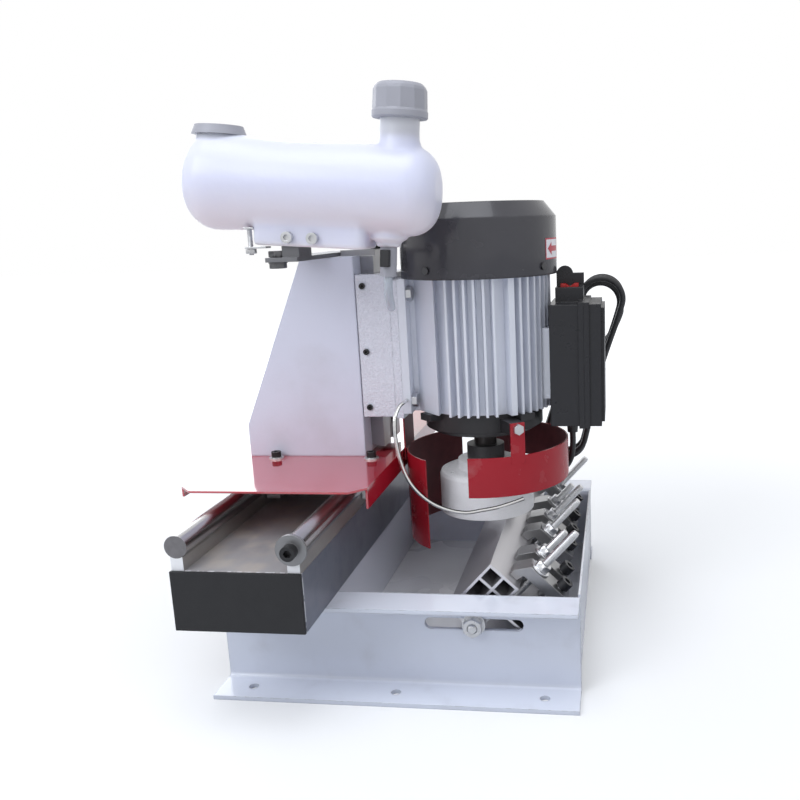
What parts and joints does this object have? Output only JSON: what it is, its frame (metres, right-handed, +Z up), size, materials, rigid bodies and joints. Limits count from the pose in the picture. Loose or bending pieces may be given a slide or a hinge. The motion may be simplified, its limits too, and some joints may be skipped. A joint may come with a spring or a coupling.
{
  "type": "planer knife grinder",
  "caption": "Bench planer knife grinder: a motor head with a cup wheel slides on round rails beside a coolant tray with a tilting knife bar and screw clamps.",
  "frame": {"origin": "middle of the foot holes on the bench plane", "axes": "+X right toward the knife bar, +Y away from the front, +Z up; the carriage runs along Y"},
  "size_m": [0.415, 0.512, 0.5463],
  "materials": {
    "channel_paint": "gloss",
    "tray_paint": "gloss",
    "column_paint": "satin",
    "beam_paint": "satin, top face worn to bare steel",
    "cap_plastic": "matte",
    "strip_steel": "machined",
    "rail_steel": "ground",
    "plate_steel": "machined",
    "block_aluminium": "machined",
    "red_paint": "gloss",
    "black_steel": "black oxide",
    "way_iron": "ground",
    "hammer_paint": "hammer finish",
    "motor_aluminium": "silver paint",
    "black_paint": "semi gloss",
    "black_plastic": "satin",
    "tank_plastic": "translucent",
    "grey_plastic": "satin",
    "zinc_steel": "zinc plated",
    "bright_tube": "bright",
    "hose_plastic": "clear",
    "abrasive": "fine grit",
    "shaft_steel": "ground",
    "red_plastic": "gloss",
    "cord_rubber": "satin",
    "knife_aluminium": "polished face",
    "strap_steel": "machined"
  },
  "bodies": {
    "base": {"front_channel": "channel_paint", "rear_channel": "channel_paint", "coolant_tray": "tray_paint", "rail_beam": "beam_paint", "beam_caps": "cap_plastic", "rail_strips": "strip_steel", "guide_rails": "rail_steel", "rail_stops": "zinc_steel"},
    "carriage": {"carriage_plate": "plate_steel", "bearing_blocks": "block_aluminium", "carriage_cover": "red_paint", "cover_screws": "black_steel", "column": "column_paint", "dovetail_way": "way_iron", "tank_bracket": "zinc_steel", "coolant_tank": "tank_plastic", "tank_screws": "zinc_steel", "drain_valve": "grey_plastic", "coolant_hose": "hose_plastic"},
    "feed": {"feed_screw": "shaft_steel", "feed_handwheel": "black_plastic"},
    "filler_cap": {"filler_cap": "grey_plastic"},
    "vent_lid": {"vent_lid": "grey_plastic"},
    "valve_tap": {"valve_tap": "black_plastic"},
    "head": {"saddle": "hammer_paint", "gib_strip": "way_iron", "gib_screws": "black_steel", "motor_plate": "hammer_paint", "motor_body": "motor_aluminium", "end_shield": "black_paint", "fan_cover": "black_paint", "head_bolts": "zinc_steel", "motor_bearings": "shaft_steel", "guard_band": "red_paint", "splash_sheet": "red_paint", "coolant_tube": "bright_tube", "switch_box": "black_plastic", "box_cover": "black_plastic", "cord_gland": "black_plastic", "cord_lead": "cord_rubber", "cord_hank": "cord_rubber", "cord_tail": "cord_rubber", "cord_tie": "black_plastic", "power_plug": "cord_rubber"},
    "spindle": {"spindle_shaft": "shaft_steel", "cooling_fan": "black_plastic", "wheel_flange": "shaft_steel", "grinding_wheel": "abrasive", "wheel_nut": "zinc_steel"},
    "rocker": {"rocker_switch": "red_plastic"},
    "knife_slide": {"pivot_bolts": "zinc_steel"},
    "knife_bar": {"knife_rail": "knife_aluminium", "clamp_studs": "zinc_steel", "clamp_nuts": "zinc_steel"},
    "clamp_1": {"clamp_1": "strap_steel"},
    "clamp_2": {"clamp_2": "strap_steel"},
    "clamp_3": {"clamp_3": "strap_steel"},
    "clamp_4": {"clamp_4": "strap_steel"},
    "clamp_5": {"clamp_5": "strap_steel"},
    "clamp_6": {"clamp_6": "strap_steel"}
  },
  "joints": [
    {"name": "carriage_slide", "type": "slide", "parent": "base", "child": "carriage", "axis": [0, 1, 0], "range_m": [-0.13, 0.13]},
    {"name": "head_feed", "type": "slide", "parent": "carriage", "child": "head", "axis": [0, 0, 1], "range_m": [0, 0.015]},
    {"name": "feed_turn", "type": "hinge", "parent": "carriage", "child": "feed", "pos_m": [-0.0445, 0.005, 0.4], "axis": [0, 0, 1], "range_deg": [0, 1351]},
    {"name": "filler_cap_lift", "type": "slide", "parent": "carriage", "child": "filler_cap", "axis": [0.075, 0, 0.9972], "range_m": [0, 0.05]},
    {"name": "vent_lid_lift", "type": "slide", "parent": "carriage", "child": "vent_lid", "axis": [0.075, 0, 0.9972], "range_m": [0, 0.03]},
    {"name": "tap_turn", "type": "hinge", "parent": "carriage", "child": "valve_tap", "pos_m": [0.00066, -0.115, 0.39366], "axis": [0, 1, 0], "range_deg": [0, 90]},
    {"name": "spindle_spin", "type": "hinge", "parent": "head", "child": "spindle", "pos_m": [0.0635, 0.005, 0.3], "axis": [0, 0, 1], "continuous": true},
    {"name": "rocker_tip", "type": "hinge", "parent": "head", "child": "rocker", "pos_m": [0.1565, 0.005, 0.354], "axis": [0, 1, 0], "range_deg": [-8, 8]},
    {"name": "knife_cross", "type": "slide", "parent": "base", "child": "knife_slide", "axis": [1, 0, 0], "range_m": [-0.015, 0]},
    {"name": "knife_tilt", "type": "hinge", "parent": "knife_slide", "child": "knife_bar", "pos_m": [0.07208, 0, 0.06479], "axis": [0, 1, 0], "range_deg": [-3, 4]},
    {"name": "clamp_1_swing", "type": "hinge", "parent": "knife_bar", "child": "clamp_1", "pos_m": [0.11849, -0.13, 0.09344], "axis": [0.682, 0, 0.7314], "range_deg": [-7, 7]},
    {"name": "clamp_2_swing", "type": "hinge", "parent": "knife_bar", "child": "clamp_2", "pos_m": [0.11849, -0.092, 0.09344], "axis": [0.682, 0, 0.7314], "range_deg": [-7, 7]},
    {"name": "clamp_3_swing", "type": "hinge", "parent": "knife_bar", "child": "clamp_3", "pos_m": [0.11849, -0.028, 0.09344], "axis": [0.682, 0, 0.7314], "range_deg": [-7, 7]},
    {"name": "clamp_4_swing", "type": "hinge", "parent": "knife_bar", "child": "clamp_4", "pos_m": [0.11849, 0.016, 0.09344], "axis": [0.682, 0, 0.7314], "range_deg": [-7, 7]},
    {"name": "clamp_5_swing", "type": "hinge", "parent": "knife_bar", "child": "clamp_5", "pos_m": [0.11849, 0.064, 0.09344], "axis": [0.682, 0, 0.7314], "range_deg": [-7, 7]},
    {"name": "clamp_6_swing", "type": "hinge", "parent": "knife_bar", "child": "clamp_6", "pos_m": [0.11849, 0.126, 0.09344], "axis": [0.682, 0, 0.7314], "range_deg": [-7, 7]}
  ],
  "couplings": [
    {"joint": "feed_turn", "follows": "head_feed", "rad_per_m": 1570.8}
  ]
}
